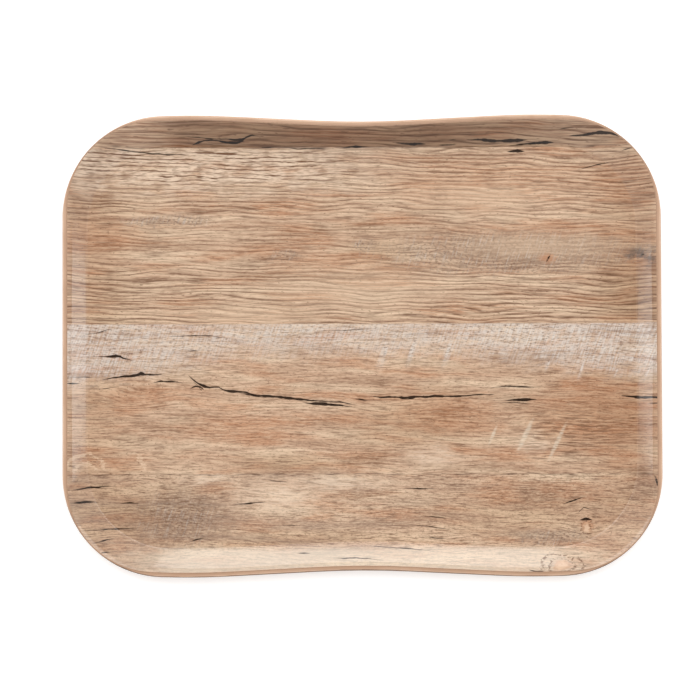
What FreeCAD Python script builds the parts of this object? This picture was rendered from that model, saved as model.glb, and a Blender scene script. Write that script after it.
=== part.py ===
import FreeCAD, Part
import math
import os

from FreeCAD import Vector

# A press-moulded serving tray, in millimetres. Eight thin sheets are stacked, bonded and bent together
# in one press, and then the outline is trimmed and its edge rounded. X runs along the tray's length,
# Y across it and Z up. The origin is at the middle of the underside, which rests on the table.

# The trimmed outline. The ends are straight, and the long sides are waisted: hollow at the middle,
# and fullest at a shoulder a little way in from each corner.
HALF_LENGTH = 215.0
SHOULDER_HALF_WIDTH = 165.8
WAIST_HALF_WIDTH = 161.15
SHOULDER_X = 124.0
WAIST_RADIUS = 650.0
SHOULDER_RADIUS = 600.0
CORNER_RADIUS = 73.0

# The face, which is the surface that plates stand on: a flat floor, a leaning wall and a flatter lip.
# A line of the face has its inset from the trimmed outline, and a corner radius of its own. The line
# where the face ends comes nearer the trimmed edge in the corners than along the sides.
TRAY_HEIGHT = 14.5
FLOOR_END_INSET = 15.8
FLOOR_SIDE_INSET = 19.1
FLOOR_CORNER_RADIUS = 61.5
RIM_INSET = 3.6
RIM_CORNER_RADIUS = 63.0
LIP_WIDTH = 2.2
LIP_SLOPE = math.radians(24.0)
FLOOR_BLEND = 2.5
LIP_BLEND = 5.0

# The rim is cut level and its outer edge is rounded over, so the edges of the sheets show along it.
EDGE_ROUNDING = 1.2

# The sheets from the face down, with their thicknesses. The five veneers have their grain crossed.
SHEETS = (
    ("clear_overlay", 0.10),
    ("decor_sheet", 0.25),
    ("face_veneer", 0.55),
    ("upper_cross_veneer", 0.55),
    ("core_veneer", 0.55),
    ("lower_cross_veneer", 0.55),
    ("back_veneer", 0.55),
    ("backing_sheet", 0.25),
)

THICKNESS = sum(thickness for _, thickness in SHEETS)

# How far the cutting shapes run past what they cut, and how near two heights are when they are the same.
CLEAR = 2.0
TOLERANCE = 1e-4


def outline(end_inset, side_inset, corner_radius, height):
    """A closed wire parallel to the trimmed outline, with a corner radius of its own."""
    half_length = HALF_LENGTH - end_inset
    waist = WAIST_HALF_WIDTH - side_inset
    shoulder = SHOULDER_HALF_WIDTH - side_inset
    waist_radius = WAIST_RADIUS + side_inset
    shoulder_radius = SHOULDER_RADIUS - side_inset

    # The straight run between waist and shoulder touches both arcs, at one angle to X.
    waist_centre = Vector(0, waist + waist_radius, 0)
    shoulder_centre = Vector(SHOULDER_X, shoulder - shoulder_radius, 0)
    between = waist_centre - shoulder_centre
    slope = math.atan2(SHOULDER_X, between.y) - math.acos((waist_radius + shoulder_radius) / between.Length)
    along = Vector(math.sin(slope), -math.cos(slope), 0)
    waist_end = waist_centre + along * waist_radius
    shoulder_start = shoulder_centre - along * shoulder_radius

    # The corner arc touches the straight end and the inside of the shoulder arc.
    corner_x = half_length - corner_radius
    reach = shoulder_radius - corner_radius
    rise = math.sqrt(reach ** 2 - (corner_x - SHOULDER_X) ** 2)
    corner_centre = Vector(corner_x, shoulder_centre.y + rise, 0)
    towards_corner = (corner_centre - shoulder_centre).normalize()
    corner_start = shoulder_centre + towards_corner * shoulder_radius
    half_turn = math.atan2(towards_corner.y, towards_corner.x) / 2
    corner_middle = corner_centre + Vector(math.cos(half_turn), math.sin(half_turn), 0) * corner_radius
    corner_end = Vector(half_length, corner_centre.y, 0)
    waist_middle = Vector(0, waist, 0)
    shoulder_middle = Vector(SHOULDER_X, shoulder, 0)

    def at(point, x_sign, y_sign):
        return Vector(point.x * x_sign, point.y * y_sign, height)

    def arc(points, x_sign, y_sign):
        return Part.Arc(*[at(point, x_sign, y_sign) for point in points]).toShape()

    def quarter(x_sign, y_sign):
        """The corner arc, the shoulder arc and the straight run of one quarter of the outline."""
        corner = arc((corner_end, corner_middle, corner_start), x_sign, y_sign)
        bulge = arc((corner_start, shoulder_middle, shoulder_start), x_sign, y_sign)
        run = Part.LineSegment(at(shoulder_start, x_sign, y_sign), at(waist_end, x_sign, y_sign))
        return [corner, bulge, run.toShape()]

    def end(x_sign):
        return Part.LineSegment(at(corner_end, x_sign, -1), at(corner_end, x_sign, 1)).toShape()

    def hollow(y_sign):
        points = (at(waist_end, 1, y_sign), at(waist_middle, 1, y_sign), at(waist_end, -1, y_sign))
        return Part.Arc(*points).toShape()

    edges = [end(1)] + quarter(1, 1) + [hollow(1)] + quarter(-1, 1)
    edges += [end(-1)] + quarter(-1, -1) + [hollow(-1)] + quarter(1, -1)
    return Part.Wire(Part.__sortEdges__(edges))


def face_lines(depth):
    """The lines that bound floor, wall and lip on the surface that lies this deep under the face."""
    lip_height = TRAY_HEIGHT - LIP_WIDTH * math.tan(LIP_SLOPE)
    lip_inset = RIM_INSET + LIP_WIDTH
    top_height = TRAY_HEIGHT + CLEAR

    def side_lines(floor_inset):
        """On one side of the tray: the insets of the three lines, and how far the lip line drops."""
        wall_slope = math.atan2(lip_height - THICKNESS, floor_inset - lip_inset)
        mean_slope = (wall_slope + LIP_SLOPE) / 2
        shift = depth / math.cos((wall_slope - LIP_SLOPE) / 2)
        floor = floor_inset - depth * math.tan(wall_slope / 2)
        lip = lip_inset - shift * math.sin(mean_slope)
        drop = shift * math.cos(mean_slope)
        top = lip - (top_height - lip_height + drop) / math.tan(LIP_SLOPE)
        return floor, lip, top, drop

    end_floor, end_lip, end_top, end_drop = side_lines(FLOOR_END_INSET)
    side_floor, side_lip, side_top, side_drop = side_lines(FLOOR_SIDE_INSET)
    drop = (end_drop + side_drop) / 2
    floor_radius = FLOOR_CORNER_RADIUS + FLOOR_SIDE_INSET - side_floor
    lip_radius = RIM_CORNER_RADIUS + RIM_INSET - (end_lip + side_lip) / 2
    top_radius = RIM_CORNER_RADIUS + RIM_INSET - (end_top + side_top) / 2
    return (
        outline(end_floor, side_floor, floor_radius, THICKNESS - depth),
        outline(end_lip, side_lip, lip_radius, lip_height - drop),
        outline(end_top, side_top, top_radius, top_height),
    )


def edges_on(solid, wire):
    """The edges of a solid that lie at the height of a level wire."""
    height = wire.BoundBox.ZMin
    boxes = [(edge, edge.BoundBox) for edge in solid.Edges]
    return [edge for edge, box in boxes if max(abs(box.ZMin - height), abs(box.ZMax - height)) < TOLERANCE]


def hollow_above(depth):
    """Everything above the surface that lies this deep under the face, as one solid."""
    floor_line, lip_line, top_line = face_lines(depth)
    solid = Part.makeLoft([floor_line, lip_line, top_line], True, True)
    solid = solid.makeFillet(FLOOR_BLEND + depth, edges_on(solid, floor_line))
    return solid.makeFillet(LIP_BLEND - depth, edges_on(solid, lip_line))


def trimmed_block():
    """A block with the trimmed outline, as high as the tray and rounded over along its top edge."""
    base = outline(0, 0, CORNER_RADIUS, -CLEAR)
    block = Part.Face(base).extrude(Vector(0, 0, TRAY_HEIGHT + CLEAR))
    rim = outline(0, 0, CORNER_RADIUS, TRAY_HEIGHT)
    return block.makeFillet(EDGE_ROUNDING, edges_on(block, rim))


def tray_sheets():
    """Each sheet as a solid: what lies between two depths under the face, trimmed to the outline."""
    block = trimmed_block()
    depth = 0.0
    above = hollow_above(depth)
    sheets = {}
    for name, thickness in SHEETS:
        depth += thickness
        below = hollow_above(depth)
        sheets[name] = below.cut(above).common(block)
        above = below
    return sheets


os.makedirs("parts", exist_ok=True)
for name, sheet in tray_sheets().items():
    sheet.exportStep(f"parts/{name}.step")
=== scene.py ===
import math

import bpy
import numpy as np
from mathutils import Matrix, Vector


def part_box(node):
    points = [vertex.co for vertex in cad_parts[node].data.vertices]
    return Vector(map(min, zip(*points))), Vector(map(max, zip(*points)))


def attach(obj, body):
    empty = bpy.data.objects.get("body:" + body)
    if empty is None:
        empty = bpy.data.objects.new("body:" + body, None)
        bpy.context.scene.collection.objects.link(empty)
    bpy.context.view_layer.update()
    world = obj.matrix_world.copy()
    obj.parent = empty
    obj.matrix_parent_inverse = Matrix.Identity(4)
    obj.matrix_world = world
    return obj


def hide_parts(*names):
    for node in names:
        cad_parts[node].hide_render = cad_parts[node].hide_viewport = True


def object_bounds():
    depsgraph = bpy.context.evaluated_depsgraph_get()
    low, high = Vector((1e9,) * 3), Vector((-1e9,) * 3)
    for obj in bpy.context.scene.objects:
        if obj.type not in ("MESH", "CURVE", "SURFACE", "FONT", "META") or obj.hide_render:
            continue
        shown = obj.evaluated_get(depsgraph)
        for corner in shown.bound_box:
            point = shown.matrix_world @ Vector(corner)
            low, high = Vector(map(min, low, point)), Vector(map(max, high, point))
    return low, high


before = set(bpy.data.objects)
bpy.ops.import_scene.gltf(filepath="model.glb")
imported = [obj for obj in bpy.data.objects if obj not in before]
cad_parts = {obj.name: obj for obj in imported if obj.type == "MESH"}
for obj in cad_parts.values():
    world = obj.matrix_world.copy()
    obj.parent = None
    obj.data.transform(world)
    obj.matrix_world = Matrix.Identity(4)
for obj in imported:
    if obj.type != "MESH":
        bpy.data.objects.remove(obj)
cad_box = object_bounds()

# A press-moulded serving tray with a printed oak face. X runs along it, Y across it and Z up, in metres.
# The veneers and the backing sheet are the CAD's own, with materials. The clear overlay and the decor sheet
# are drawn again here as one printed face.
MM = 0.001

# The tray's shape, as the CAD has it: the trimmed outline, and the face's insets from it.
HALF_LENGTH = cad_box[1].x
SHOULDER_HALF_WIDTH = cad_box[1].y
TRAY_HEIGHT = cad_box[1].z
WAIST_DEPTH = 4.65 * MM
WAIST_HALF_WIDTH = SHOULDER_HALF_WIDTH - WAIST_DEPTH
SHOULDER_X = 124 * MM
WAIST_RADIUS = 650 * MM
SHOULDER_RADIUS = 600 * MM
FLOOR_END_INSET = 15.8 * MM
FLOOR_SIDE_INSET = 19.1 * MM
FLOOR_CORNER_RADIUS = 61.5 * MM
RIM_INSET = 3.6 * MM
RIM_CORNER_RADIUS = 63 * MM
LIP_WIDTH = 2.2 * MM
LIP_SLOPE = math.radians(24)
FLOOR_BLEND = 2.5 * MM
LIP_BLEND = 5 * MM
OVERLAY_THICKNESS = 0.1 * MM
FACE_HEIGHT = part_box("clear_overlay")[0].z + OVERLAY_THICKNESS
PRINTED_THICKNESS = FACE_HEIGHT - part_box("decor_sheet")[0].z


# ---------------------------------------------------------------- the printed face

# How many segments each part of a quarter of an outline has: waist, straight run, shoulder, corner, end.
OUTLINE_STEPS = (6, 6, 10, 40, 10)

# How many segments round off the bend at the floor and the one at the lip.
FLOOR_BLEND_STEPS = 6
LIP_BLEND_STEPS = 5


def quarter_outline(end_inset, side_inset, corner_radius):
    """The points and outward normals of a quarter of an outline, from the middle of a side to an end's."""
    waist_radius = WAIST_RADIUS + side_inset
    shoulder_radius = SHOULDER_RADIUS - side_inset
    waist_centre = np.array([0, WAIST_HALF_WIDTH + WAIST_RADIUS])
    shoulder_centre = np.array([SHOULDER_X, SHOULDER_HALF_WIDTH - SHOULDER_RADIUS])
    between = waist_centre - shoulder_centre
    slope = math.atan2(SHOULDER_X, between[1])
    slope -= math.acos((waist_radius + shoulder_radius) / np.hypot(*between))
    corner_x = HALF_LENGTH - end_inset - corner_radius
    reach = shoulder_radius - corner_radius
    rise = math.sqrt(reach ** 2 - (corner_x - SHOULDER_X) ** 2)
    corner_centre = np.array([corner_x, shoulder_centre[1] + rise])
    turn = math.atan2(corner_x - SHOULDER_X, rise)
    waist_steps, run_steps, shoulder_steps, corner_steps, end_steps = OUTLINE_STEPS

    def arc(centre, radius, start, stop, steps):
        """Angles are measured from +Y towards +X. A hollow arc has a negative radius."""
        angles = np.linspace(start, stop, steps, endpoint=False)
        normals = np.stack([np.sin(angles), np.cos(angles)], 1)
        return centre + normals * radius, normals

    def run(start, stop, normal, steps):
        shares = np.linspace(0, 1, steps, endpoint=False)[:, None]
        return start + (stop - start) * shares, np.repeat([normal], steps, 0)

    slant = np.array([-math.sin(slope), math.cos(slope)])
    sections = [
        arc(waist_centre, -waist_radius, 0, -slope, waist_steps),
        run(waist_centre - slant * waist_radius, shoulder_centre + slant * shoulder_radius, slant, run_steps),
        arc(shoulder_centre, shoulder_radius, -slope, turn, shoulder_steps),
        arc(corner_centre, corner_radius, turn, math.pi / 2, corner_steps),
        run(corner_centre + [corner_radius, 0], np.array([corner_x + corner_radius, 0]), (1, 0), end_steps),
    ]
    end = [[corner_x + corner_radius, 0]], [[1.0, 0.0]]
    return [np.concatenate(rows) for rows in zip(*sections, end)]


def outline(end_inset, side_inset, corner_radius):
    """The points and outward normals all round an outline, clockwise from the middle of the +Y side."""

    def all_round(quarter):
        half = np.concatenate([quarter[:-1], quarter[:0:-1] * [1, -1]])
        return np.concatenate([half, half * [-1, -1]])

    return [all_round(quarter) for quarter in quarter_outline(end_inset, side_inset, corner_radius)]


def side_lines(depth, floor_inset):
    """On one side of the tray: the insets of the floor, lip and rim lines, and the height of the lip line."""
    lip_height = TRAY_HEIGHT - LIP_WIDTH * math.tan(LIP_SLOPE)
    lip_inset = RIM_INSET + LIP_WIDTH
    wall_slope = math.atan2(lip_height - FACE_HEIGHT, floor_inset - lip_inset)
    mean_slope = (wall_slope + LIP_SLOPE) / 2
    shift = depth / math.cos((wall_slope - LIP_SLOPE) / 2)
    floor = floor_inset - depth * math.tan(wall_slope / 2)
    lip = lip_inset - shift * math.sin(mean_slope)
    height = lip_height - shift * math.cos(mean_slope)
    rim = lip - (TRAY_HEIGHT - height) / math.tan(LIP_SLOPE)
    return np.array([floor, lip, rim, height])


def fillet(before, corner, after, radius, steps):
    """Rings of points that round off the crease at the corner ring, between the rings each side of it."""
    towards_before = before - corner
    towards_before /= np.linalg.norm(towards_before, axis=1, keepdims=True)
    towards_after = after - corner
    towards_after /= np.linalg.norm(towards_after, axis=1, keepdims=True)
    half_angle = np.arccos(np.clip((towards_before * towards_after).sum(1), -1, 1))[:, None] / 2
    middle = towards_before + towards_after
    middle /= np.linalg.norm(middle, axis=1, keepdims=True)
    centre = corner + middle * radius / np.sin(half_angle)
    start = corner + towards_before * radius / np.tan(half_angle) - centre
    stop = corner + towards_after * radius / np.tan(half_angle) - centre
    sweep = math.pi - 2 * half_angle
    shares = np.linspace(0, 1, steps + 1)[:, None, None]
    turned = np.sin((1 - shares) * sweep) * start + np.sin(shares * sweep) * stop
    return list(centre + turned / np.sin(sweep))


def face_rings(depth):
    """Rings of points from the floor's edge up to the rim, on the surface this deep under the face."""
    end, side = side_lines(depth, FLOOR_END_INSET), side_lines(depth, FLOOR_SIDE_INSET)
    lip_height = (end[3] + side[3]) / 2
    corner_radii = [FLOOR_CORNER_RADIUS + FLOOR_SIDE_INSET - side[0]]
    corner_radii += [RIM_CORNER_RADIUS + RIM_INSET - (end[i] + side[i]) / 2 for i in (1, 2)]
    lines = []
    for i, height in enumerate((FACE_HEIGHT - depth, lip_height, TRAY_HEIGHT)):
        points, normals = outline(end[i], side[i], corner_radii[i])
        lines.append(np.column_stack([points, np.full(len(points), height)]))
        if i == 0:
            inward = np.column_stack([-normals, np.zeros(len(points))])
    floor, lip, rim = lines
    rings = fillet(floor + inward, floor, lip, FLOOR_BLEND + depth, FLOOR_BLEND_STEPS)
    rings += fillet(floor, lip, rim, LIP_BLEND - depth, LIP_BLEND_STEPS)
    return rings + [rim]


def mesh_object(name, points, faces):
    """A smooth-shaded mesh in the scene."""
    mesh = bpy.data.meshes.new(name)
    mesh.from_pydata([tuple(point) for point in points], [], faces)
    mesh.shade_smooth()
    piece = bpy.data.objects.new(name, mesh)
    bpy.context.collection.objects.link(piece)
    return piece


def closed_shell(name, top_rings, under_rings):
    """A closed sheet, whose upper and lower surfaces are rings of points round a flat middle.

    The strip between the two outermost rings has the second material, and sharp edges.
    """
    count = len(top_rings[0])
    rim_rings = (len(top_rings) - 1, len(top_rings))
    rings = top_rings + under_rings[::-1]
    points = np.concatenate(rings)
    faces = [list(range(count))[::-1]]
    for r in range(len(rings) - 1):
        for i in range(count):
            j = (i + 1) % count
            faces.append([r * count + i, r * count + j, (r + 1) * count + j, (r + 1) * count + i])
    last = (len(rings) - 1) * count
    faces.append(list(range(last, last + count)))
    piece = mesh_object(name, points, faces)
    for face in piece.data.polygons:
        face.material_index = int(all(vertex // count in rim_rings for vertex in face.vertices))
    for edge in piece.data.edges:
        ends = [vertex // count for vertex in edge.vertices]
        edge.use_edge_sharp = ends[0] == ends[1] and ends[0] in rim_rings
    return piece


def build_printed_face():
    """The clear overlay and the decor sheet as one sheet, as thick as the two together."""
    piece = closed_shell("printed_face", face_rings(0), face_rings(PRINTED_THICKNESS))
    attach(piece, "root")
    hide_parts("clear_overlay", "decor_sheet")
    return piece


# ---------------------------------------------------------------- writing materials as arithmetic

# What keeps a curve whose results are all the same from dividing by nothing.
SMALLEST_SPAN = 1e-6


class Field:
    """A number or vector in a material's node tree, for plain arithmetic."""

    def __init__(self, tree, socket):
        self.tree = tree
        self.socket = socket

    def node(self, kind, inputs, **settings):
        """A new node with these inputs, each a field or a plain value."""
        made = self.tree.nodes.new(kind)
        for key, value in settings.items():
            setattr(made, key, value)
        for key, value in inputs.items():
            if isinstance(value, Field):
                self.tree.links.new(value.socket, made.inputs[key])
            else:
                made.inputs[key].default_value = value
        return made

    def math(self, operation, *others):
        made = self.node("ShaderNodeMath", dict(enumerate((self, *others))), operation=operation)
        return Field(self.tree, made.outputs[0])

    def __add__(self, other):
        return self.math("ADD", other)

    def __sub__(self, other):
        return self.math("SUBTRACT", other)

    def __mul__(self, other):
        return self.math("MULTIPLY", other)

    def __truediv__(self, other):
        return self.math("DIVIDE", other)

    def absolute(self):
        return self.math("ABSOLUTE")

    def highest(self, other):
        """The greater of this and another number."""
        return self.math("MAXIMUM", other)

    def ramp(self, start, stop, low=0.0, high=1.0):
        """Goes smoothly from low to high as the number goes from start to stop."""
        made = self.node("ShaderNodeMapRange", {0: self, 1: start, 2: stop, 3: low, 4: high})
        made.interpolation_type = "SMOOTHSTEP"
        return Field(self.tree, made.outputs[0])

    def curve(self, points):
        """Follows straight runs through a list of (number, result) points in order."""
        starts, results = zip(*points)
        first, reach = starts[0], starts[-1] - starts[0]
        lowest, span = min(results), max(max(results) - min(results), SMALLEST_SPAN)
        made = self.node("ShaderNodeFloatCurve", {1: (self - first) / reach})
        path = made.mapping.curves[0]
        for _ in points[2:]:
            path.points.new(0.5, 0.5)
        for point, start, result in zip(path.points, starts, results):
            point.location = ((start - first) / reach, (result - lowest) / span)
            point.handle_type = "VECTOR"
        made.mapping.update()
        return Field(self.tree, made.outputs[0]) * span + lowest

    def noise(self, detail=2.0, roughness=0.5):
        """Smooth noise from 0 to 1, with lumps about as large as one unit of this vector."""
        inputs = {"Vector": self, "Scale": 1.0, "Detail": detail, "Roughness": roughness}
        made = self.node("ShaderNodeTexNoise", inputs)
        return Field(self.tree, made.outputs[0])


def vector(x, y, z=0.0):
    """A vector whose first part, at least, is a field."""
    made = x.node("ShaderNodeCombineXYZ", {0: x, 1: y, 2: z})
    return Field(x.tree, made.outputs[0])


def place_in_mm(tree):
    """The place on the object, in millimetres: along, across and up."""
    coordinates = tree.nodes.new("ShaderNodeTexCoord")
    start = Field(tree, coordinates.outputs["Object"])
    parts = start.node("ShaderNodeSeparateXYZ", {0: start})
    return [Field(tree, parts.outputs[i]) / MM for i in range(3)]


def linear(share):
    """The light that a screen value from 0 to 1 stands for, by the sRGB formula."""
    return share / 12.92 if share <= 0.04045 else ((share + 0.055) / 1.055) ** 2.4


def colour(red, green, blue):
    """A linear colour from the usual 0 to 255 screen values."""
    return tuple(linear(value / 255) for value in (red, green, blue)) + (1.0,)


class Paint:
    """A colour that layers are painted over, one after another."""

    def __init__(self, base):
        self.now = base

    def layer(self, amount, over, kind="MIX"):
        """Paints a colour over the others, as strongly as this amount from 0 to 1."""
        settings = {"data_type": "RGBA", "blend_type": kind, "clamp_factor": True}
        mixed = amount.node("ShaderNodeMix", {0: amount}, **settings)
        for index, value in ((6, self.now), (7, over)):
            if isinstance(value, Field):
                amount.tree.links.new(value.socket, mixed.inputs[index])
            else:
                mixed.inputs[index].default_value = value
        self.now = Field(amount.tree, mixed.outputs[2])


def new_material(name):
    """An empty material with a Principled BSDF."""
    material = bpy.data.materials.new(name)
    material.use_nodes = True
    return material


def finish(material, paint, roughness, relief=None, depth=0.0):
    """Gives a material its colour and roughness, and a relief that is this many metres deep."""
    tree = material.node_tree
    shader = tree.nodes["Principled BSDF"]
    tree.links.new(paint.now.socket, shader.inputs["Base Color"])
    tree.links.new(roughness.socket, shader.inputs["Roughness"])
    if relief:
        bump = relief.node("ShaderNodeBump", {"Height": relief, "Strength": 1.0, "Distance": depth})
        tree.links.new(bump.outputs[0], shader.inputs["Normal"])


# ---------------------------------------------------------------- the printed oak

# Screen colours of the print, before the clear overlay.
WARM_OAK = colour(208, 172, 144)
PALE_OAK = colour(233, 203, 173)
RED_OAK = colour(198, 142, 106)
BEIGE_OAK = colour(214, 188, 160)
BROWN_OAK = colour(158, 120, 94)
GREY_OAK = colour(170, 152, 136)
BLEACHED = colour(228, 220, 212)
CREAM = colour(232, 218, 196)
PALE_CREAM = colour(240, 215, 190)
GRAIN_BROWN = colour(120, 88, 67)
SEAM_BROWN = colour(84, 60, 46)
STAIN_GREY = colour(108, 92, 82)
CRACK_BROWN = colour(26, 13, 6)

# What the darker plank, which also carries painted shade on the +Y wall, and browner places multiply the
# print by.
DARKER_PLANK_AND_SHADE = (0.48, 0.4, 0.34, 1)
BROWNER = (0.82, 0.76, 0.7, 1)

# Places and sizes on the print are in millimetres, along the tray and then across it. Noise is divided by
# how long and how wide its lumps are. A ramp has where it starts and stops, and how strong it is at each.

# The heights across the tray where one printed plank ends and the next begins.
PLANK_EDGES = (-93.0, 15.9, 144.0)

# How the grain lies: how far it rises across the tray for each step along it, how far each plank's grain is
# shifted from the last one's, how wide the growth rings are, and where lines part round a knot, each as a
# centre, a reach and a strength.
GRAIN_SLANT = 0.025
PLANK_SHIFT = (97, 37)
RING_SPACING = 3.3
CLOSE_RING_SPACING = 2.3
ROUGH_RING_SPACING = 3.1
GRAIN_OPENINGS = (((-165, -30), (34, 22), -0.55), ((162, -128), (26, 18), -0.6), ((135, 62), (20, 10), -0.5))

# How strong the growth rings and the fibres are across the tray, and the dark plank on the +Y wall along it.
# That plank is partly print and partly painted shade.
RING_STRENGTH = ((-165, 0.25), (15.8, 0.25), (16, 1), (50, 0.9), (62, 0.5), (92, 0.5), (100, 0.8), (165, 0.8))
FIBRE_STRENGTH = ((-165, 0.8), (-93, 0.8), (-92, 0.6), (15.8, 0.6), (16, 0.55), (165, 0.55))
DARK_PLANK_AND_SHADE_STRENGTH = (
    (-215, 0), (-165, 0), (-130, 0.9), (-60, 1), (60, 1), (110, 0.75), (165, 0.4), (215, 0.2),
)

# The sawn pale band at the +Y edge of the middle plank: how far down it comes, and how strong it is, along
# the tray.
SAWN_REACH = ((-215, -36), (-140, -27), (-90, -16), (60, -14), (110, -20), (215, -32))
SAWN_STRENGTH = ((-215, 0.8), (-120, 0.6), (-60, 0.65), (60, 0.65), (130, 0.8), (215, 0.8))

# Soft ovals on the print. Each has a centre and a reach, and may have a shear and an edge for patch().
BROWN_PLACES = (
    ((-131, -121), (60, 34), 0, 0), ((134, -106), (32, 12), -0.4), ((-186, 105), (26, 8)),
    ((-163, -32), (18, 9)), ((-147, -42), (10, 6)), ((-1, -84), (28, 7)), ((63, -47), (14, 9)),
    ((0, -107), (30, 6), 1.2), ((2, 86), (26, 6)), ((-28, 82), (13, 7)), ((135, 62), (11, 8)),
    ((-150, 73), (60, 5)), ((200, -105), (14, 14)), ((213, -102), (6, 12)), ((-40, 50), (70, 5)),
    ((50, 82), (60, 5), -2), ((110, 74), (60, 4), -2), ((120, 70), (110, 20)), ((205, -92), (18, 4)),
)
RED_PLACES = (
    ((-31, -124), (15, 4)), ((-30, 76), (16, 9)), ((190, 120), (40, 22)), ((90, 118), (110, 24)),
    ((170, -52), (70, 34)), ((-165, -38), (36, 15)), ((60, -50), (60, 20)), ((-20, 60), (60, 10)),
    ((-190, 80), (50, 16)), ((130, 84), (90, 8)), ((-90, -60), (60, 16)), ((150, -104), (40, 8), -1),
)
BROWNER_PLACES = (
    ((165, -50), (90, 48), 0, 0), ((-168, -124), (76, 44), 0, 0), ((40, -55), (90, 40), 0, 0),
    ((120, -120), (110, 30), 0, 0), ((12, 68), (44, 18), 0, 0), ((205, 40), (60, 60), 0, 0),
    ((-55, -84), (80, 10), 0, 0), ((-40, -142), (130, 14), 0, 0),
)
GREY_PLACES = (
    ((-140, 91), (44, 6)), ((2, 73), (12, 7)), ((-56, 66), (15, 6)), ((105, 68), (125, 22)),
    ((203, 66), (16, 9)), ((134, -139), (34, 8)), ((-131, -125), (50, 30), 0, 0),
)
PALE_PLACES = (
    ((-5, 40), (110, 26), 0, 0), ((-80, 22), (90, 18), 0, 0), ((90, 108), (90, 18), 0, 0),
    ((125, 72), (90, 16), 0, 0),
)
CREAM_PLACES = (
    ((-20, -99), (62, 10), 0, 0), ((-112, -96), (30, 5), 0, 0), ((123, -71), (19, 13), 0, 0),
    ((50, -80), (32, 13), 0, 0), ((-60, -109), (50, 20), 0, 0),
)
CREAM_STROKES = (((94.5, -65), (1.8, 9), 0.42), ((118, -65), (2.8, 16), 0.46), ((141, -70), (2.4, 18), 0.47))
SAWN_FINGERS = (
    ((17, -2), (6, 20), 0.3, 0), ((37, -2), (5, 17), 0.3, 0), ((63, -2), (5, 18), 0.3, 0),
    ((90, -4), (4, 14), 0.3, 0), ((117, -3), (4, 14), 0.3, 0), ((135, -12), (3, 10), 0.3, 0),
    ((159, -16), (3.5, 12), 0.3, 0), ((184, -19), (3, 6), 0.3, 0), ((206, -18), (2.5, 11), 0.3, 0),
)
STAINED_PLACES = (((200, 66), (15, 7)), ((206, 62), (8, 9)))
PITTED_PLACE = ((-131, -122), (60, 34), 0, 0)
DASHED_PLACE = ((150, -66), (62, 30))

# The knots: their red wood, their pale hearts and the slits in the wood. The rings round them and the
# flecks of the rays are thin ovals, whose thickness is a share of their reach.
RED_KNOTS = (((135, 63), (9, 5)), ((162, -131), (7, 7)), ((143, -158), (9, 4)))
PALE_KNOTS = (((162, -132.5), (3.4, 5)), ((143, -158), (6, 3)))
SLITS = (((135.3, 63), (1.1, 3.6), 0.55), ((211, -99), (1.2, 7), -0.3), ((203, 65), (1.5, 1)))
KNOT_RINGS = (((162, -132), (4, 6), 0.3), ((143, -158), (9, 4.5), 0.2), ((143, -158), (15, 8), 0.12))
RAY_FLECKS = (((-200, -92), (14, 14), 0.12), ((-200, -92), (7, 8), 0.2))
LONE_FLECK = ((-174, -90), (16, 14), 0.12)

# How far the dark lines of a row wander across the tray, how soft their edges are, how far they run out at
# each end, and how deep the fibres stand in the print, in metres.
STROKE_WANDER = 1.6
STROKE_SOFTNESS = 0.6
STROKE_RUNOUT = 0.4
PRINT_RELIEF = 0.006 * MM


def line(half_width, *points):
    """A dark line that is this wide each side of its middle, and comes to a point at both ends."""
    tips = (0, len(points) - 1)
    return [(x, y, half_width * (0.05 if i in tips else 1.0)) for i, (x, y) in enumerate(points)]


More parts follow.
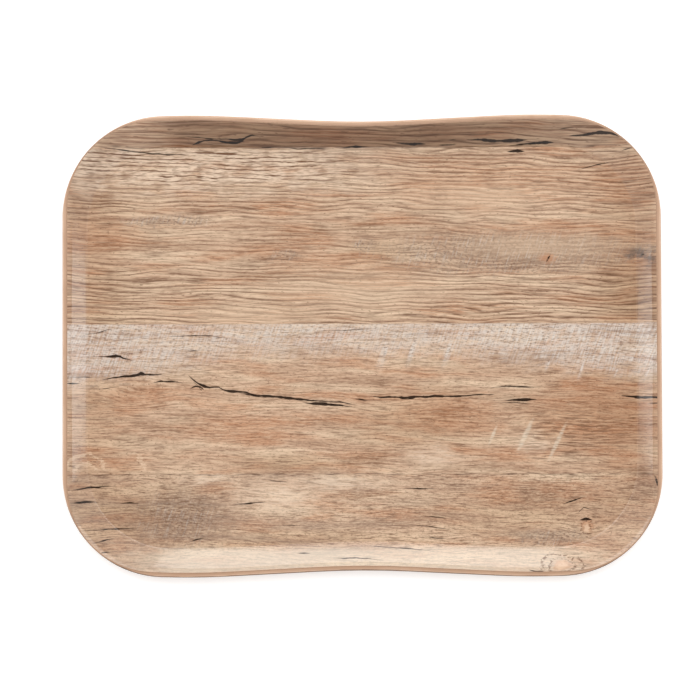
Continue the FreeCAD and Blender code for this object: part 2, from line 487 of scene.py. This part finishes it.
# Cracks and dark lines, as points along and across the tray with the line's half width there. The lines
# of one row don't overlap along the tray.
CRACK_ROWS = (
    (
        [(-142, 151.8, 0), (-117, 150.8, 0.3), (-108, 149.8, 0.35), (-98, 150.1, 0.3), (-91, 149.3, 0.6),
         (-86, 149.2, 0.9), (-83, 151, 0.7), (-79, 152.3, 0.4), (-69, 150.6, 0)],
        line(0.3, (62, 148.6), (66, 149), (70, 149)),
        [(74, 149.4, 0), (90, 148.4, 1.0), (104, 147.8, 0.9), (112, 148.2, 1.2), (122, 148.6, 0)],
        [(146, 151, 0), (160, 151.8, 0.7), (172, 152.6, 1.2), (179, 152, 0.7), (184, 150.5, 0.9),
         (189, 148.8, 0.2)],
    ),
    (
        [(-123, 145.6, 0.1), (-118, 147.6, 0.7), (-113, 149, 0.4), (-104, 148.9, 0.5), (-97, 147.6, 0.7),
         (-90, 147.4, 0.8), (-84, 148.6, 0)],
        line(0.4, (-78, 143.8), (-66, 144.2), (-56, 144.6)),
        line(0.8, (-16, 144), (-4, 144.1), (6, 144)),
        line(1.1, (24, 146.4), (38, 145.9), (47, 145.8)),
        line(0.5, (53, 145.2), (62, 145.6), (70, 145.8)),
        line(1.0, (106, 144.6), (125, 146.2), (134, 146.8), (140, 147)),
        line(0.4, (141, 155.5), (148, 156.4), (154, 157)),
    ),
    (
        line(0.4, (-192, 144), (-172, 141.8), (-142, 139.4), (-122, 139.2)),
        line(0.5, (-60, 143.6), (-40, 143), (-20, 143)),
        line(1.4, (106, 140.3), (112, 140.9), (119, 140.2)),
        line(0.5, (154, 126.6), (170, 130.5), (184, 133.5)),
        line(0.35, (186, 139.5), (191, 140.8), (196, 141.8)),
    ),
    (
        line(0.3, (-208, 7.5), (-190, 10.4), (-178, 14)),
        line(0.3, (-150, 6.1), (-123, 7.8), (-109, 7.5), (-94, 5.3)),
        line(0.3, (-30, 10.4), (-8, 11.6), (18, 12.6)),
    ),
    (
        [(-198, -6.9, 0.1), (-186, -7.2, 0.3), (-182, -7.3, 1.1), (-178, -6.8, 1.3), (-175, -7.4, 0.9),
         (-173, -8.8, 0.5), (-164, -10.8, 0)],
        line(0.3, (-131, -3.3), (-122, -3.2), (-114, -3.3)),
    ),
    (
        line(0.4, (-212, -22), (-202, -22), (-193, -22.3)),
        [(-191, -24.3, 0), (-180, -22.7, 0.6), (-168, -21.7, 0.8), (-163, -20.8, 1.1), (-160, -19.3, 1.3),
         (-157, -20.7, 0.8), (-150, -20.6, 0.5), (-143, -20.2, 0)],
        [(-127, -19.4, 0), (-123, -23.4, 0.5), (-119, -26.6, 0.9), (-115, -28.6, 1.2), (-111, -30, 0.8),
         (-104, -29.5, 0.5), (-100, -31.9, 0.6), (-92, -33, 1.0), (-84, -33.7, 0.6), (-79, -35.2, 0.7),
         (-66, -36.6, 0.8), (-52, -37.8, 0.9), (-40, -39.2, 0.8), (-33, -39.8, 0.3), (-16, -40.8, 0.5),
         (-3, -43.2, 0)],
        [(4, -36, 0), (13, -37.2, 0.5), (31, -37.4, 0.9), (46, -37, 0.8), (71, -36.5, 0.6), (84, -35.8, 0.5),
         (102, -35, 0)],
        line(1.0, (102, -40.2), (113, -39.4), (121, -39.2), (127, -39.4)),
        [(186, -36.9, 0), (193, -37.3, 0.9), (203, -37.8, 1.0), (214, -38.3, 0.6)],
    ),
    (
        line(0.6, (-214, -26.3), (-208, -26.4), (-202, -26.5)),
        line(0.3, (-198, -31.5), (-185, -30.2), (-172, -28.6)),
        line(0.6, (-152, -26.4), (-146, -25.2), (-138, -25.4), (-128, -26.4)),
        [(-125, -30.6, 0), (-121, -28.6, 0.8), (-117, -29.4, 0.8), (-114, -32, 0)],
        line(0.7, (-90, -34.2), (-80, -35.6), (-68, -37.4)),
        [(-44, -41.2, 0), (-34, -41.8, 0.9), (-26, -42.1, 1.1), (-16, -43.2, 0.6), (-8, -44.4, 0)],
        line(0.6, (-7, -38), (0, -38.9), (6, -39.6)),
        line(0.5, (27, -38.3), (33, -38.3), (39, -38.5)),
        line(0.5, (90, -30.9), (106, -29.7), (116, -30), (134, -30.6)),
        line(0.5, (205, -42.3), (209, -42.3), (214, -42.3)),
    ),
    (
        line(0.3, (-123.5, -24.6), (-120, -27.2), (-117, -31), (-115, -33.4)),
        line(0.3, (-40, -39.8), (-20, -42.4), (2, -45.5)),
        line(0.35, (95, -42.2), (110, -41.4), (130, -42.4)),
    ),
    (
        line(0.7, (-212, -103.2), (-195, -101.8), (-176, -100.6)),
        line(0.4, (-70, -97.2), (-61, -98), (-52, -98.5)),
        line(0.5, (27, -103), (40, -103.2), (56, -103.8)),
        line(0.7, (144, -115.2), (152, -112.5), (161, -109.6)),
    ),
    (
        line(0.9, (-211, -112.2), (-201, -112), (-190, -112.4)),
        line(0.6, (-176, -113.4), (-168, -113.2), (-160, -113.4)),
        line(0.6, (-94, -114.8), (-82, -113.6), (-69, -112.6)),
        line(0.4, (40, -123), (52, -124), (64, -125.4)),
        line(1.3, (157, -126.5), (161.5, -125.6), (166, -126.4)),
    ),
    (
        line(0.6, (-203, -131.6), (-175, -132), (-161, -131.8)),
        line(0.5, (-127, -141.5), (-120, -139.6), (-112, -138.2)),
        line(0.4, (-59, -129.6), (-52, -129.6), (-46, -129.8)),
        line(0.4, (27, -129), (50, -131), (71, -134.2)),
        line(0.35, (153, -123.5), (160, -117.4), (170, -120)),
    ),
    (
        line(0.5, (-195, -141), (-186, -139.4), (-176, -138)),
        line(0.4, (-48, -149), (-42, -149), (-36, -149.3)),
        line(0.4, (-30, -152.4), (-6, -152.6), (16, -153.6)),
        line(0.4, (38, -138.4), (52, -138.8), (65, -140)),
        line(1.0, (118, -160.8), (128, -162.6), (135, -164)),
    ),
    (
        line(0.4, (-190, -147.8), (-184, -147.6), (-178, -147.8)),
        line(0.4, (-6, -143.4), (30, -146), (60, -149.6)),
    ),
)


def stroke_row(x, y, wobble, jitter, strokes):
    """How much of a row of dark lines covers each place, from 0 to 1."""
    centres = [(along, across) for stroke in strokes for along, across, _ in stroke]
    widths = []
    for stroke in strokes:
        widths.append((stroke[0][0] - STROKE_RUNOUT, 0.0))
        widths += [(along, width) for along, _, width in stroke]
        widths.append((stroke[-1][0] + STROKE_RUNOUT, 0.0))
    width = x.curve(widths) * jitter.ramp(0.3, 0.7, 0.7, 1.2)
    distance = (y - x.curve(centres) + (wobble - 0.5) * STROKE_WANDER).absolute()
    return ((width - distance) / STROKE_SOFTNESS + 0.5).ramp(0, 1) * width.ramp(0.01, 0.25)


def oval(place, centre, reach, shear=0.0):
    """How far out a place is in an oval that leans by shear, from 0 in its middle to 1 at its rim."""
    across = place[1] - centre[1]
    along = place[0] - centre[0] - across * shear
    outward = vector(along / reach[0], across / reach[1])
    made = outward.node("ShaderNodeVectorMath", {0: outward}, operation="LENGTH")
    return Field(outward.tree, made.outputs["Value"])


def patch(place, centre, reach, shear=0.0, edge=0.3):
    """A soft-edged oval. It is 1 out to this share of its reach, and then fades to 0 at its rim."""
    return oval(place, centre, reach, shear).ramp(1.0, edge)


def ring_mark(place, centre, reach, thickness):
    """A soft oval line, as thick as this share of its reach."""
    return (oval(place, centre, reach) - 1).absolute().ramp(thickness, thickness / 3)


def patches(place, *shapes, draw=patch):
    """Several ovals together, as the greatest of them."""
    together = draw(place, *shapes[0])
    for shape in shapes[1:]:
        together = together.highest(draw(place, *shape))
    return together


def ring_marks(place, *shapes):
    """Several oval lines together."""
    return patches(place, *shapes, draw=ring_mark)


def plank_number(y, waver):
    """Counts the printed planks from the -Y side, with slightly uneven edges between them."""
    edges = [(y + waver).math("GREATER_THAN", edge) for edge in PLANK_EDGES]
    return edges[0] + edges[1] + edges[2]


def opened_grain(place, knots):
    """How far the grain lines are pushed across the tray as they part round knots."""
    push = None
    for centre, reach, strength in knots:
        one = patch(place, centre, reach, edge=0.0) * (place[1] - centre[1]) * strength
        push = one if push is None else push + one
    return push


class Grain:
    """The fields that the print is drawn from: where its lines run, its tones and its wear."""

    def __init__(self, tree):
        x, y, _ = place_in_mm(tree)
        self.x, self.y = x, y

        # The grain waves slowly across the planks, parts round the knots and starts afresh on each plank.
        # Its fibres are shorter on the planks nearer the -Y side.
        wave = vector(x / 75, y / 24).noise(detail=1)
        self.wobble = vector(x / 11, y / 60).noise(detail=1)
        self.jitter = vector(x / 5, y / 60, 7).noise(detail=1)
        self.plank_waver = self.wobble * 1.4 - 0.7
        plank = plank_number(y, self.plank_waver)
        across = y + x * GRAIN_SLANT + wave * 7 + opened_grain((x, y), GRAIN_OPENINGS)
        across = across + plank * PLANK_SHIFT[1]
        shifted = x + plank * PLANK_SHIFT[0]
        along = shifted * (plank * -0.75 + 3)

        # Broad tones, and streaks that are longer than they are wide, down to the finest fibres and pores.
        self.tone = vector(shifted / 90, across / 10).noise(detail=2)
        self.warmth = vector(shifted / 60, across / 10, 50).noise(detail=2)
        self.drift = vector(shifted / 60, across / 14, 70).noise(detail=1)
        self.lines = vector(along / 45, across / 2.4).noise(detail=2, roughness=0.5)
        self.long_lines = vector(shifted / 38, across / 1.7, 90).noise(detail=1)
        self.long_dashes = vector(x / 13, across / 1.3, 44).noise(detail=1)
        self.dashes = vector(x / 6, across / 0.95, 31).noise(detail=1)
        self.fibres = vector(along / 26, across / 0.95).noise(detail=2, roughness=0.5)
        self.fine = vector(along / 7, across / 0.8).noise(detail=2, roughness=0.55)
        self.pores = vector(along / 4.5, across / 1.1, 20).noise(detail=1)

        # Wear, specks and slanting saw marks, which don't follow the grain.
        self.wear = vector(x / 16, y / 7).noise(detail=3, roughness=0.6)
        self.speckle = vector(x / 2.2, y / 1.4).noise(detail=2)
        self.saw = vector((x - y * 0.35) / 1.2, y / 14).noise(detail=1)

        # Where a place lies in its growth ring, from 0 to 1. The rings wander with the lines round them.
        ring = across / RING_SPACING + self.drift * 3.5 + self.lines * 0.5
        close_ring = across / CLOSE_RING_SPACING + self.drift * 2.5 + self.lines * 0.9
        rough_ring = across / ROUGH_RING_SPACING + self.lines * 1.2 + (self.wear - 0.5) * 0.8
        self.ring = ring.math("FRACT")
        self.close_ring = close_ring.math("FRACT")
        self.rough_ring = rough_ring.math("FRACT")

        # Worn places have ragged edges, and the edges of the knots are shaken.
        wear, speckle = self.wear - 0.5, self.speckle - 0.5
        self.ragged = (x + wear * 30, y + speckle * 5 + wear * 12)
        self.shaken = (x + speckle * 8 + wear * 12, y + wear * 10 + speckle * 4)


def paint_tones(paint, grain):
    """The broad pale, brown and reddish tones under the grain lines."""
    paint.layer(grain.tone.ramp(0.45, 0.66, 0, 0.95), PALE_OAK)
    paint.layer(grain.tone.ramp(0.47, 0.3, 0, 0.6), BROWN_OAK)
    paint.layer(grain.warmth.ramp(0.46, 0.7, 0, 0.75), RED_OAK)
    paint.layer(grain.drift.ramp(0.52, 0.68, 0, 0.5), BEIGE_OAK)
    paint.layer(patches(grain.ragged, *BROWN_PLACES) * grain.tone.ramp(0.3, 0.7, 0.85, 0.45), BROWN_OAK)
    paint.layer(patches(grain.ragged, *RED_PLACES) * 0.55, RED_OAK)


def paint_grain_lines(paint, grain):
    """The growth rings, each dark on one side and pale on the other, and the fibres and pores."""
    ring, close_ring = grain.ring, grain.close_ring
    ring_strength = grain.y.curve(RING_STRENGTH)
    dashed = grain.long_lines.ramp(0.3, 0.6, 0.25, 1)
    paint.layer(ring.ramp(0.0, 0.12) * ring.ramp(0.5, 0.16) * ring_strength * dashed, GRAIN_BROWN)
    paint.layer(ring.ramp(0.5, 0.7) * ring.ramp(1, 0.8) * ring_strength * 0.65, PALE_OAK)
    paint.layer(close_ring.ramp(0.0, 0.15) * close_ring.ramp(0.6, 0.15) * ring_strength * 0.35, GRAIN_BROWN)
    paint.layer(grain.lines.ramp(0.54, 0.7, 0, 0.4), GRAIN_BROWN)
    fibre_strength = grain.y.curve(FIBRE_STRENGTH)
    paint.layer(grain.fibres.ramp(0.5, 0.68, 0, 0.85) * fibre_strength, GRAIN_BROWN)
    paint.layer(grain.fibres.ramp(0.5, 0.32, 0, 0.7) * fibre_strength, PALE_OAK)
    paint.layer(grain.fine.ramp(0.5, 0.7, 0, 0.55) * fibre_strength, GRAIN_BROWN)
    paint.layer(grain.fine.ramp(0.5, 0.3, 0, 0.45) * fibre_strength, PALE_OAK)
    paint.layer(grain.pores.ramp(0.64, 0.74, 0, 0.6), GRAIN_BROWN)


def paint_planks(paint, grain):
    """The dark plank on the +Y wall, partly print and partly painted shade, browner places and ends, the dull
    plank on the -Y side, and seams.
    """
    x, y = grain.x, grain.y
    dull_edge, _, dark_edge = PLANK_EDGES
    # Partly print and partly painted shade: the +Y wall is darkened as a dark plank.
    dark_plank_and_shade = y.ramp(dark_edge - 0.5, dark_edge + 0.5) * x.curve(DARK_PLANK_AND_SHADE_STRENGTH)
    paint.layer(dark_plank_and_shade, DARKER_PLANK_AND_SHADE, "MULTIPLY")
    paint.layer(patches(grain.ragged, *BROWNER_PLACES) * 0.8, BROWNER, "MULTIPLY")
    paint.layer(x.absolute().ramp(150, 192) * 0.55, BROWNER, "MULTIPLY")
    dull = y.ramp(dull_edge + 2, dull_edge - 1) * x.ramp(-40, 60, 1, 0.4)
    paint.layer(dull * grain.tone.ramp(0.3, 0.6, 0.35, 0.05), GREY_OAK)
    seams = (y + grain.wobble * 3 - 1.5 - dull_edge).absolute().ramp(1.0, 0.3)
    seams = seams.highest((y + grain.plank_waver - dark_edge).absolute().ramp(1.3, 0.3))
    paint.layer(seams * grain.long_dashes.ramp(0.42, 0.66, 0.05, 0.7), SEAM_BROWN)


def paint_weathering(paint, grain):
    """Grey hatched places, and the rough pale zone beside the dark plank."""
    x, y, wear = grain.x, grain.y, grain.wear
    grey = patches(grain.ragged, *GREY_PLACES)
    paint.layer(grey * grain.saw.ramp(0.3, 0.7, 0.2, 0.6) * grain.speckle.ramp(0.35, 0.6, 0.4, 1), GREY_OAK)
    paint.layer(grey * grain.speckle.ramp(0.5, 0.66, 0, 0.65), GRAIN_BROWN)
    paint.layer(grey * grain.saw.ramp(0.5, 0.75, 0, 0.3) * wear.ramp(0.4, 0.55), BLEACHED)
    rough = (y + wear * 30 - 15).ramp(104, 126) * y.ramp(145, 140) * (x + wear * 90 - 45).ramp(60, -60)
    paint.layer(rough * wear.ramp(0.35, 0.6, 0.2, 0.75), PALE_CREAM)
    rough_line = grain.rough_ring.ramp(0.0, 0.12) * grain.rough_ring.ramp(0.45, 0.2)
    paint.layer(rough * rough_line * grain.long_dashes.ramp(0.36, 0.52, 0, 1), GRAIN_BROWN)
    pitted = rough * 0.6 + patch(grain.ragged, *PITTED_PLACE)
    paint.layer(pitted * grain.dashes.ramp(0.5, 0.62, 0, 0.7), GRAIN_BROWN)


def paint_pale_places(paint, grain):
    """Cream places and strokes, the sawn band that runs along the middle plank, and the cream -Y wall, which
    is partly print and partly a painted reflection.
    """
    x, y, wear, lines = grain.x, grain.y, grain.wear, grain.lines
    broken = grain.dashes.ramp(0.3, 0.6, 0.3, 0.8)
    cream = patches(grain.ragged, *CREAM_PLACES)
    strokes = patches((x, y), *CREAM_STROKES)
    paint.layer(cream * broken * lines.ramp(0.62, 0.45, 0.35, 0.85), PALE_CREAM)
    paint.layer(strokes * broken * lines.ramp(0.62, 0.45, 0.4, 0.85), CREAM)
    paint.layer(patches(grain.ragged, *PALE_PLACES) * 0.4, PALE_OAK)
    sawn = ((y - x.curve(SAWN_REACH) + (wear - 0.5) * 22) / 22).ramp(0, 1)
    sawn = sawn * y.ramp(PLANK_EDGES[1] + 0.6, PLANK_EDGES[1] - 0.6) * x.curve(SAWN_STRENGTH)
    sawn = sawn.highest(patches((x, y), *SAWN_FINGERS) * 0.85)
    paint.layer(sawn * grain.saw.ramp(0.3, 0.65, 0.35, 1) * lines.ramp(0.62, 0.45, 0.45, 0.95), BLEACHED)
    paint.layer(sawn * grain.fine.ramp(0.5, 0.68, 0, 0.75), GRAIN_BROWN)
    paint.layer(patch(grain.ragged, *DASHED_PLACE) * grain.long_dashes.ramp(0.5, 0.62, 0, 0.65), GRAIN_BROWN)
    # Partly print and partly painted reflection: the -Y wall is painted cream, fading towards the ends.
    cream_wall_and_sheen = y.ramp(-143, -149) * (x + wear * 60 - 30).absolute().ramp(195, 120)
    paint.layer(cream_wall_and_sheen * 0.5, CREAM)


def paint_knots(paint, grain):
    """The knots with broken rings round them, a grey stain, slits, and the pale flecks of the rays."""
    place, speckle = grain.shaken, grain.speckle
    paint.layer(patches(place, *RED_KNOTS) * 0.6, RED_OAK)
    paint.layer(patches(place, *PALE_KNOTS) * 0.7, PALE_OAK)
    paint.layer(ring_marks(place, *KNOT_RINGS) * speckle.ramp(0.42, 0.6, 0.05, 0.8), GRAIN_BROWN)
    stain = patches(grain.ragged, *STAINED_PLACES) * grain.saw.ramp(0.3, 0.6, 0.5, 0.85)
    paint.layer(stain * grain.dashes.ramp(0.3, 0.6, 0.4, 1), STAIN_GREY)
    paint.layer(patches((grain.x, grain.y), *SLITS) * speckle.ramp(0.3, 0.55, 0.4, 1), CRACK_BROWN)
    flecks = ring_marks(place, *RAY_FLECKS).highest(ring_marks(place, LONE_FLECK) * grain.x.ramp(-170, -165))
    flecks = flecks * grain.y.ramp(-91, -88) * grain.y.ramp(-74, -78)
    paint.layer(flecks * grain.dashes.ramp(0.35, 0.6, 0.2, 0.7), PALE_OAK)


def paint_cracks(paint, grain):
    """The cracks and dark lines, one row after another."""
    for strokes in CRACK_ROWS:
        covered = stroke_row(grain.x, grain.y, grain.wobble, grain.jitter, strokes)
        paint.layer(covered * 0.95, CRACK_BROWN)


def oak_decor():
    """The printed oak under its clear overlay."""
    material = new_material("oak_decor")
    tree = material.node_tree
    grain = Grain(tree)
    paint = Paint(WARM_OAK)
    paint_tones(paint, grain)
    paint_grain_lines(paint, grain)
    paint_planks(paint, grain)
    paint_weathering(paint, grain)
    paint_pale_places(paint, grain)
    paint_knots(paint, grain)
    paint_cracks(paint, grain)
    finish(material, paint, grain.fibres.ramp(0.3, 0.7, 0.08, 0.13), grain.fibres, PRINT_RELIEF)

    # The satin gloss fades where the face is seen at a low angle.
    slant = Field(tree, tree.nodes.new("ShaderNodeLayerWeight").outputs["Facing"])
    gloss = slant.ramp(0.5, 0.85, 0.5, 0.0)
    tree.links.new(gloss.socket, tree.nodes["Principled BSDF"].inputs["Specular IOR Level"])
    return material


# ---------------------------------------------------------------- the other materials

# The cut veneers, which are darker where the grain is cut across, and carry painted shade on the edges that
# face the -Y side. The face veneer is browner than the others.
VENEER_PALE = colour(226, 192, 164)
VENEER_MID = colour(214, 176, 147)
VENEER_DARK = colour(190, 150, 121)
FACE_VENEER_PALE = colour(204, 166, 138)
FACE_VENEER_MID = colour(188, 149, 121)
EDGE_SHADE_BROWN = colour(98, 74, 57)
DECOR_CORE = colour(178, 140, 112)
BACKING_TAN = colour(196, 162, 132)
BACKING_BROWN = colour(160, 126, 100)
BACKING_RELIEF = 0.03 * MM


def veneer(name, end_grain_axis, body, pale):
    """A veneer seen at its cut edge. Its end grain shows where that faces this axis, 0 for X and 1 for Y."""
    material = new_material(name)
    tree = material.node_tree
    x, y, z = place_in_mm(tree)
    geometry = tree.nodes.new("ShaderNodeNewGeometry")
    facing = Field(tree, geometry.outputs["Normal"])
    facing = facing.node("ShaderNodeSeparateXYZ", {0: facing})
    end_grain = Field(tree, facing.outputs[end_grain_axis]).absolute().ramp(0.35, 0.8)
    shaded_near_side = Field(tree, facing.outputs[1]).ramp(-0.1, -0.5)
    streaks = vector(x / 9, y / 9, z / 0.25).noise(detail=3, roughness=0.6)
    pits = vector(x / 0.7, y / 0.7, z / 0.5).noise(detail=2)
    tone = vector(x / 30, y / 30, z).noise(detail=1)
    paint = Paint(body)
    paint.layer(tone.ramp(0.35, 0.65, 0, 0.6), pale)
    paint.layer(streaks.ramp(0.5, 0.7, 0, 0.5), VENEER_DARK)
    paint.layer(end_grain * 0.35, VENEER_DARK)
    paint.layer(end_grain * pits.ramp(0.5, 0.68, 0, 0.6), BACKING_BROWN)
    # Painted shade: the edges that face the -Y side are darkened to brown.
    paint.layer(shaded_near_side * 0.8, EDGE_SHADE_BROWN)
    finish(material, paint, streaks.ramp(0.3, 0.7, 0.5, 0.65))
    return material


def decor_cut_edge():
    """The thin brown edge of the printed sheet where the rim is cut."""
    material = new_material("decor_cut_edge")
    x, y, z = place_in_mm(material.node_tree)
    speckle = vector(x / 1.5, y / 1.5, z).noise(detail=2)
    paint = Paint(DECOR_CORE)
    paint.layer(speckle.ramp(0.45, 0.65, 0, 0.6), BACKING_BROWN)
    finish(material, paint, speckle.ramp(0.3, 0.7, 0.4, 0.55))
    return material


def backing():
    """The matt backing sheet, with a faint plain grain along the tray."""
    material = new_material("backing")
    x, y, z = place_in_mm(material.node_tree)
    wave = vector(x / 90, y / 30, z / 30).noise(detail=1)
    across = y + wave * 8
    fibres = vector(x / 30, across / 1.2, z / 1.6).noise(detail=3, roughness=0.6)
    bands = vector(x / 120, across / 9, z / 12).noise(detail=2)
    pores = vector(x / 4, across / 0.5, z / 0.8).noise(detail=1)
    paint = Paint(BACKING_TAN)
    paint.layer(bands.ramp(0.4, 0.65, 0, 0.5), BACKING_BROWN)
    paint.layer(fibres.ramp(0.48, 0.7, 0, 0.7), BACKING_BROWN)
    paint.layer(fibres.ramp(0.48, 0.3, 0, 0.4), VENEER_PALE)
    paint.layer(pores.ramp(0.66, 0.76, 0, 0.5), GRAIN_BROWN)
    finish(material, paint, fibres.ramp(0.3, 0.7, 0.5, 0.62), fibres, BACKING_RELIEF)
    return material


def cover(node, material):
    """Gives a CAD node a material."""
    for material_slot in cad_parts[node].material_slots:
        material_slot.material = material


# ---------------------------------------------------------------- the studio

WHITE = (1, 1, 1, 1)

# The camera looks almost straight down at a point near the tray's middle.
CAMERA_AIM = Vector((-8.76 * MM, -3.25 * MM, TRAY_HEIGHT))
CAMERA_HEIGHT = 1150 * MM
CAMERA_LENS = 81.45
CAMERA_SENSOR = 36
CAMERA_TILT = math.radians(1.0)
CAMERA_ROLL = math.radians(-0.19)

# The floor lies just under the tray. It glows a little, so that it looks white all round the tray.
FLOOR_SIZE = 6.0
FLOOR_GAP = 0.2 * MM
FLOOR_COLOUR = (0.8, 0.8, 0.8, 1)
FLOOR_ROUGHNESS = 0.9
FLOOR_GLOW = 0.42

# The room's light goes from one strength level with the tray to another high up, where the height is 1
# straight overhead. It is dimmer overhead, round the camera. The camera itself sees a plain backdrop.
LEVEL_STRENGTH = 0.35
HIGH_STRENGTH = 0.81
HIGH_FROM = 0.75
DIM_SHARE = 0.1
DIM_STARTS = 0.94
DIM_FROM = 0.99
BACKDROP_STRENGTH = 1.0

# The soft boxes: name, size, azimuth and elevation in degrees, and radiance.
SOFT_BOX_DISTANCE = 4.0
SOFT_BOXES = (
    ("key_softbox", (5.0, 2.0), 0, 66, 2.25),
    ("back_softbox", (4.5, 0.6), 0, 21.5, 3.6),
    ("left_softbox", (0.84, 0.6), -90, 9.5, 4.0),
    ("right_softbox", (0.84, 0.6), 90, 9.5, 3.5),
)


def white_floor():
    material = new_material("white_floor")
    shader = material.node_tree.nodes["Principled BSDF"]
    shader.inputs["Base Color"].default_value = FLOOR_COLOUR
    shader.inputs["Roughness"].default_value = FLOOR_ROUGHNESS
    shader.inputs["Emission Color"].default_value = WHITE
    shader.inputs["Emission Strength"].default_value = FLOOR_GLOW
    return material


def build_floor():
    mesh = bpy.data.meshes.new("floor")
    half = FLOOR_SIZE / 2
    corners = [(-half, -half, 0), (half, -half, 0), (half, half, 0), (-half, half, 0)]
    mesh.from_pydata(corners, [], [(0, 1, 2, 3)])
    floor = bpy.data.objects.new("floor", mesh)
    bpy.context.collection.objects.link(floor)
    floor.location.z = cad_box[0].z - FLOOR_GAP
    mesh.materials.append(white_floor())


def build_camera():
    data = bpy.data.cameras.new("camera")
    data.lens = CAMERA_LENS
    data.sensor_width = CAMERA_SENSOR
    camera = bpy.data.objects.new("camera", data)
    bpy.context.collection.objects.link(camera)
    back = Vector((0, -math.sin(CAMERA_TILT), math.cos(CAMERA_TILT)))
    camera.location = CAMERA_AIM + back * (CAMERA_HEIGHT - TRAY_HEIGHT)
    turn = Matrix.Rotation(CAMERA_ROLL, 4, "Z") @ Matrix.Rotation(CAMERA_TILT, 4, "X")
    camera.rotation_euler = turn.to_euler()
    bpy.context.scene.camera = camera


def build_soft_box(name, size, azimuth, elevation, radiance):
    """A rectangular light that faces the tray. Azimuth turns from +Y towards +X."""
    data = bpy.data.lights.new(name, "AREA")
    data.shape = "RECTANGLE"
    data.size, data.size_y = size
    data.energy = radiance * math.pi * size[0] * size[1]
    light = bpy.data.objects.new(name, data)
    bpy.context.collection.objects.link(light)
    a, e = math.radians(azimuth), math.radians(elevation)
    towards = Vector((math.sin(a) * math.cos(e), math.cos(a) * math.cos(e), math.sin(e)))
    light.location = towards * SOFT_BOX_DISTANCE
    light.rotation_euler = (-towards).to_track_quat("-Z", "Y").to_euler()


def build_room_light():
    """The world's plain white light."""
    world = bpy.data.worlds.new("studio")
    world.use_nodes = True
    tree = world.node_tree
    coordinates = tree.nodes.new("ShaderNodeTexCoord")
    direction = Field(tree, coordinates.outputs["Generated"])
    parts = direction.node("ShaderNodeSeparateXYZ", {0: direction})
    height = Field(tree, parts.outputs[2])
    strength = height.ramp(0.0, HIGH_FROM, LEVEL_STRENGTH, HIGH_STRENGTH)
    strength = strength * height.ramp(DIM_STARTS, DIM_FROM, 1, DIM_SHARE)
    seen_by_camera = Field(tree, tree.nodes.new("ShaderNodeLightPath").outputs["Is Camera Ray"])
    strength = strength.highest(seen_by_camera * BACKDROP_STRENGTH)
    background = tree.nodes["Background"]
    background.inputs["Color"].default_value = WHITE
    tree.links.new(strength.socket, background.inputs["Strength"])
    bpy.context.scene.world = world


printed_face = build_printed_face()
printed_face.data.materials.append(oak_decor())
printed_face.data.materials.append(decor_cut_edge())
cover("face_veneer", veneer("face_veneer", 0, FACE_VENEER_MID, FACE_VENEER_PALE))
for node in ("core_veneer", "back_veneer"):
    cover(node, veneer(node, 0, VENEER_MID, VENEER_PALE))
for node in ("upper_cross_veneer", "lower_cross_veneer"):
    cover(node, veneer(node, 1, VENEER_MID, VENEER_PALE))
cover("backing_sheet", backing())

build_floor()
build_camera()
build_room_light()
for values in SOFT_BOXES:
    build_soft_box(*values)
bpy.context.scene.view_settings.view_transform = "Standard"
